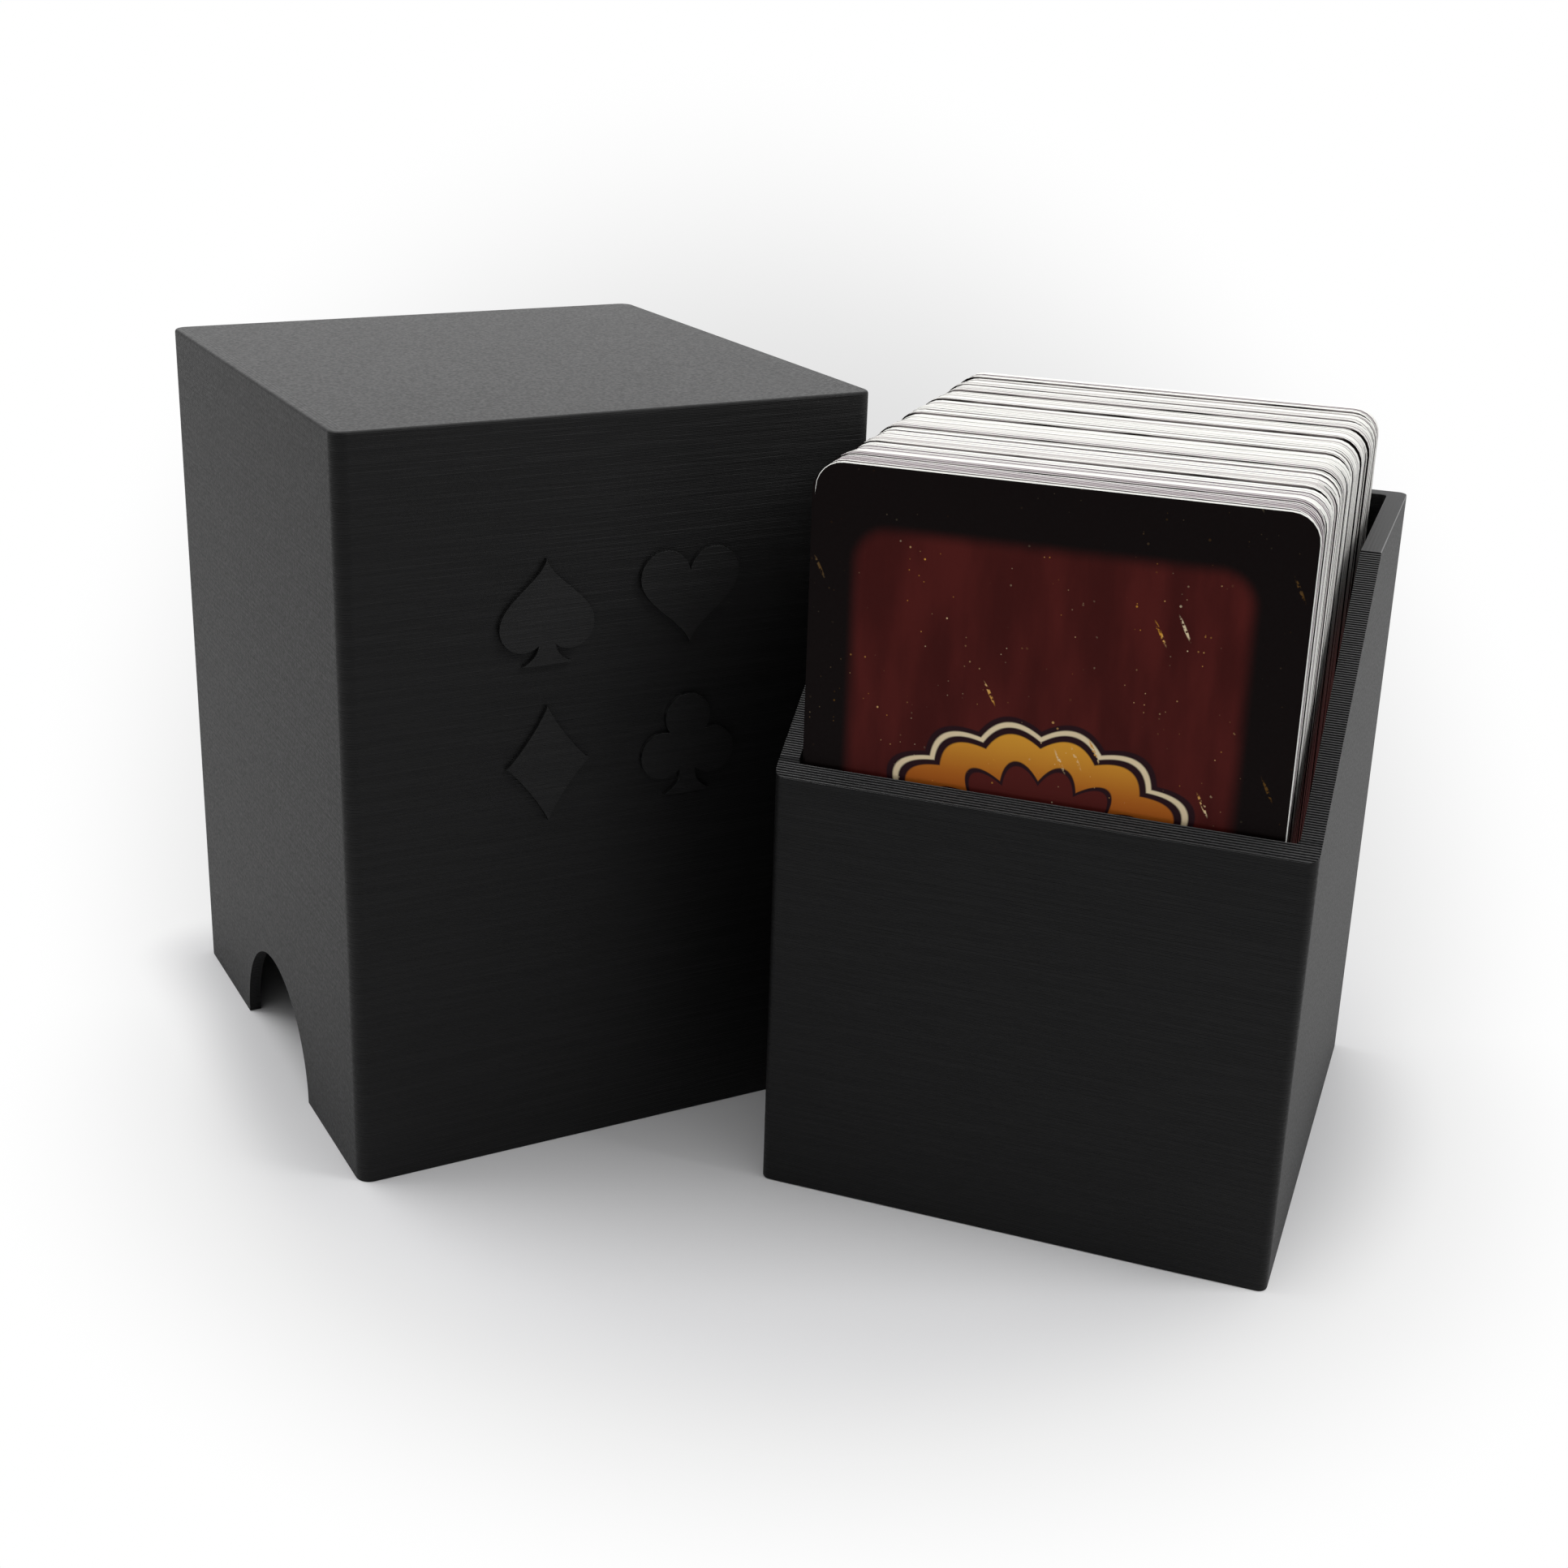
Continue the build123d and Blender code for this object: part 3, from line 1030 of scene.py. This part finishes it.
colour = mix(tree, calc(tree, "MULTIPLY", worn, rim), colour, STOCK_DULL)
tree.links.new(colour, shader.inputs["Base Color"])
tree.links.new(ramp(tree, grain["Mottle"], 0.3, 0.7, *INK_ROUGH), shader.inputs["Roughness"])
linen = {"Height": grain["Mottle"], "Distance": LINEN_HEIGHT, "Strength": 0.5}
tree.links.new(place(tree, "Bump", linen).outputs[0], shader.inputs["Normal"])
shader.inputs["Specular IOR Level"].default_value = BACK_SHINE
print(card_back.name, "has", len(tree.nodes), "nodes")

# %% [markdown]
# The faces of the cards look away from the camera and show when the deck is lifted or seen from
# behind. They have a cream border and a panel in one of a few plain colours, chosen by the tint.

# %% Print on the card faces
FACE_COLOURS = (
    (0.0, (0.35, 0.03, 0.03, 1)),
    (0.3, (0.05, 0.13, 0.30, 1)),
    (0.55, (0.04, 0.20, 0.08, 1)),
    (0.8, (0.55, 0.33, 0.03, 1)),
)
FACE_PANEL = {"Half": (24.6, 40.1, 0), "Corner": 3.0, "Soft": 0.3}
FACE_SHINE = 0.25
RING_OUTER, RING_INNER = 12.0, 10.8
card_face, tree, shader = new_material("card_face_print")
spot = card_place(tree)
panel = put(tree, panel_mask, {"Place": spot, **FACE_PANEL})
grain = put(tree, fine_grain, {"Place": spot, "Scale": LINEN})
tint = tint_of(tree)
wheel = place(tree, "ValToRGB", {0: tint})
wheel.color_ramp.interpolation = "CONSTANT"
for rank, (start, ink) in enumerate(FACE_COLOURS):
    stop = wheel.color_ramp.elements[0] if rank == 0 else wheel.color_ramp.elements.new(start)
    stop.color = ink
wheel.color_ramp.elements.remove(wheel.color_ramp.elements[-1])
rubs = put(tree, rubbed_ink, {"Place": spot, "Amount": 0.05})
shade = calc(tree, "MULTIPLY", grain["Mottle"], 0.4)
field = mix(tree, shade, wheel.outputs["Color"], SHADE_INK)
colour = mix(tree, panel["Inside"], STOCK_PALE, field)
reach = length(tree, spot)
colour = mix(tree, within(tree, reach, RING_OUTER), colour, STOCK_PALE)
colour = mix(tree, within(tree, reach, RING_INNER), colour, field)
colour = mix(tree, rubs["Dots"], colour, STOCK_PALE)
tree.links.new(colour, shader.inputs["Base Color"])
tree.links.new(ramp(tree, grain["Mottle"], 0.3, 0.7, *INK_ROUGH), shader.inputs["Roughness"])
shader.inputs["Specular IOR Level"].default_value = FACE_SHINE
print(card_face.name, "has", len(tree.nodes), "nodes")

# %% [markdown]
# One card is modelled and copied for the whole deck, so it has few faces: a plane with bevelled
# corners, stood up and given its thickness. Its UV map is the place on the card from 0 to 1, and
# its three materials are told apart by which way a face looks.

# %% Cut one card
CARD_CORNER = 3.3 * MM
CARD_SEGMENTS = 6
CARD_THICKNESS = 0.345 * MM
card = new_piece(bpy.ops.mesh.primitive_plane_add, "card", size=1, rotation=(pi / 2, 0, 0))
settle(card)
with editing(card):
    select_all()
    bpy.ops.transform.resize(value=(card_size.x, 1, card_size.z), center_override=(0, 0, 0))
    bpy.ops.mesh.bevel(offset=CARD_CORNER, segments=CARD_SEGMENTS, affect="VERTICES")
    select_all()
    push(y=CARD_THICKNESS)
    face_outwards()
for material in (stock_with_painted_shade, card_back, card_face):
    card.data.materials.append(material)
card_map = card.data.uv_layers.new(name="card")
for face in card.data.polygons:
    face.material_index = 1 if face.normal.y < -0.5 else 2 if face.normal.y > 0.5 else 0
    for corner in face.loop_indices:
        co = card.data.vertices[card.data.loops[corner].vertex_index].co
        card_map.data[corner].uv = (co.x / card_size.x + 0.5, co.z / card_size.z + 0.5)
print("card has", len(card.data.polygons), "faces")

# %% [markdown]
# A deck that was put into the tray by hand is never quite straight. It stands in packets that
# were pushed down together, and each packet sits a little higher or further to one side than the
# next. The frame gives these places. Where a packet rises over the one in front of it, a dark
# strip of its back shows as a line across the deck. Within a packet a few cards in a row stand
# out by a hair, which draws the fainter lines. A few cards have cut edges painted dark, more of
# them near the front, and never two in a row, so that their lines stay apart: this is painted
# shade, lines that stand in for the shade between uneven cards.

# %% Stand the deck in the tray
CARD_AIR = 0.002 * MM
HAIR_RISE = 0.08 * MM
HAIR_SLIP = 0.05 * MM
HAIR_CARDS = 3
PACKET_ROLL = radians(0.05)
# Chances of painted shade lines on a card's cut edges: for any card, and more near the front.
SOME_SHADE_LINES = 0.1
FRONT_SHADE_LINES = 0.65
FRONT_DULL = 0.6
FRONT_DEPTH = 13 * MM
draw = random.Random(11)


def hairs(count):
    """A small lift and slip for each card of a packet, the same for a few cards in a row."""
    places = []
    while len(places) < count:
        hair = Vector((draw.uniform(-1, 1) * HAIR_SLIP, 0, draw.random() * HAIR_RISE))
        places += [hair] * draw.randint(1, HAIR_CARDS)
    return places[:count]


def stand_card(spot, roll, tint):
    """A copy of the card with its own mesh and tint, standing at its place in the deck."""
    copy = card.copy()
    copy.data = card.data.copy()
    scene.collection.objects.link(copy)
    copy.data.transform(Matrix.Translation(spot) @ Matrix.Rotation(roll, 4, "Y"))
    tints = copy.data.attributes.new("card_tint", "FLOAT", "FACE")
    for entry in tints.data:
        entry.value = tint
    return copy


def card_tint(rank, spot):
    """A random number for a card, higher near the deck's front, where 1 paints shade lines on its
    cut edges.
    """
    near_front = max(0.0, 1 - (spot.y - card_low.y) / FRONT_DEPTH)
    # A tint of 1 paints shade lines on the card's cut edges.
    shade_line = rank % 2 and draw.random() < SOME_SHADE_LINES + FRONT_SHADE_LINES * near_front
    return 1.0 if shade_line else draw.random() ** (1 - FRONT_DULL * near_front)


def stand_packet(node):
    """The cards of one packet of the frame, close together about the middle of their room."""
    low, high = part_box(node)
    levels = {round(vertex.co.y / MM, 2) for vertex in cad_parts[node].data.vertices}
    count = len(levels) // 2
    pitch = CARD_THICKNESS + CARD_AIR
    front = (low + high) / 2 - Vector((0, count * pitch / 2, 0))
    roll = draw.gauss(0, 1) * PACKET_ROLL
    places = [front + Vector((0, rank * pitch, 0)) + hair for rank, hair in enumerate(hairs(count))]
    return [stand_card(spot, roll, card_tint(rank, spot)) for rank, spot in enumerate(places)]


def join_cards(cards, name, body, node):
    """Join the cards of a packet into one piece that stands for a node of the frame."""
    packet = join_pieces(cards, name)
    bpy.ops.object.shade_smooth_by_angle(angle=SMOOTH_ANGLE)
    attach(packet, body)
    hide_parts(node)
    return packet


packet_nodes = sorted(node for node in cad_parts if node.startswith("card_packet"))
card_total = 0
for node in packet_nodes:
    cards = stand_packet(node)
    card_total += len(cards)
    join_cards(cards, node.replace("card_packet", "deck_packet"), "deck", node)
print(len(packet_nodes), "packets hold", card_total, "cards")

# %% [markdown]
# The front card is the one that is drawn first. It is the same card again, alone on its own
# body, so that it can slide up out of the tray while the rest of the deck stays. Its right-hand
# rim and its upper corners have been handled most: the print is worn off there, so those edges are
# bevelled and show the stock.

# %% Stand the front card
WORN_RIM = 0.09 * MM
front_spot = (card_low + card_high) / 2
front_spot.y = card_low.y


def is_worn_rim(edge):
    """Edges between the back of the front card and its cut side, on the right and at the top."""
    on_back = any(face.normal.y < -0.5 for face in edge.link_faces)
    right = min(vertex.co.x for vertex in edge.verts) > card_high.x - CARD_CORNER
    high = min(vertex.co.z for vertex in edge.verts) > card_high.z - CARD_CORNER - TOUCH
    return on_back and (right or high)


front = stand_card(front_spot, 0, 0.0)
drawn_card = join_cards([front], "drawn_card", "front_card", "front_card")
with editing(drawn_card, "EDGE"):
    rim_count = pick(drawn_card, "edges", is_worn_rim)
    bpy.ops.mesh.bevel(offset=WORN_RIM, segments=1, affect="EDGES", material=0)
bpy.data.objects.remove(card)
print("front card stands", round(front_spot.y / MM, 2), "mm from the middle")
print(rim_count, "of its edges are worn")
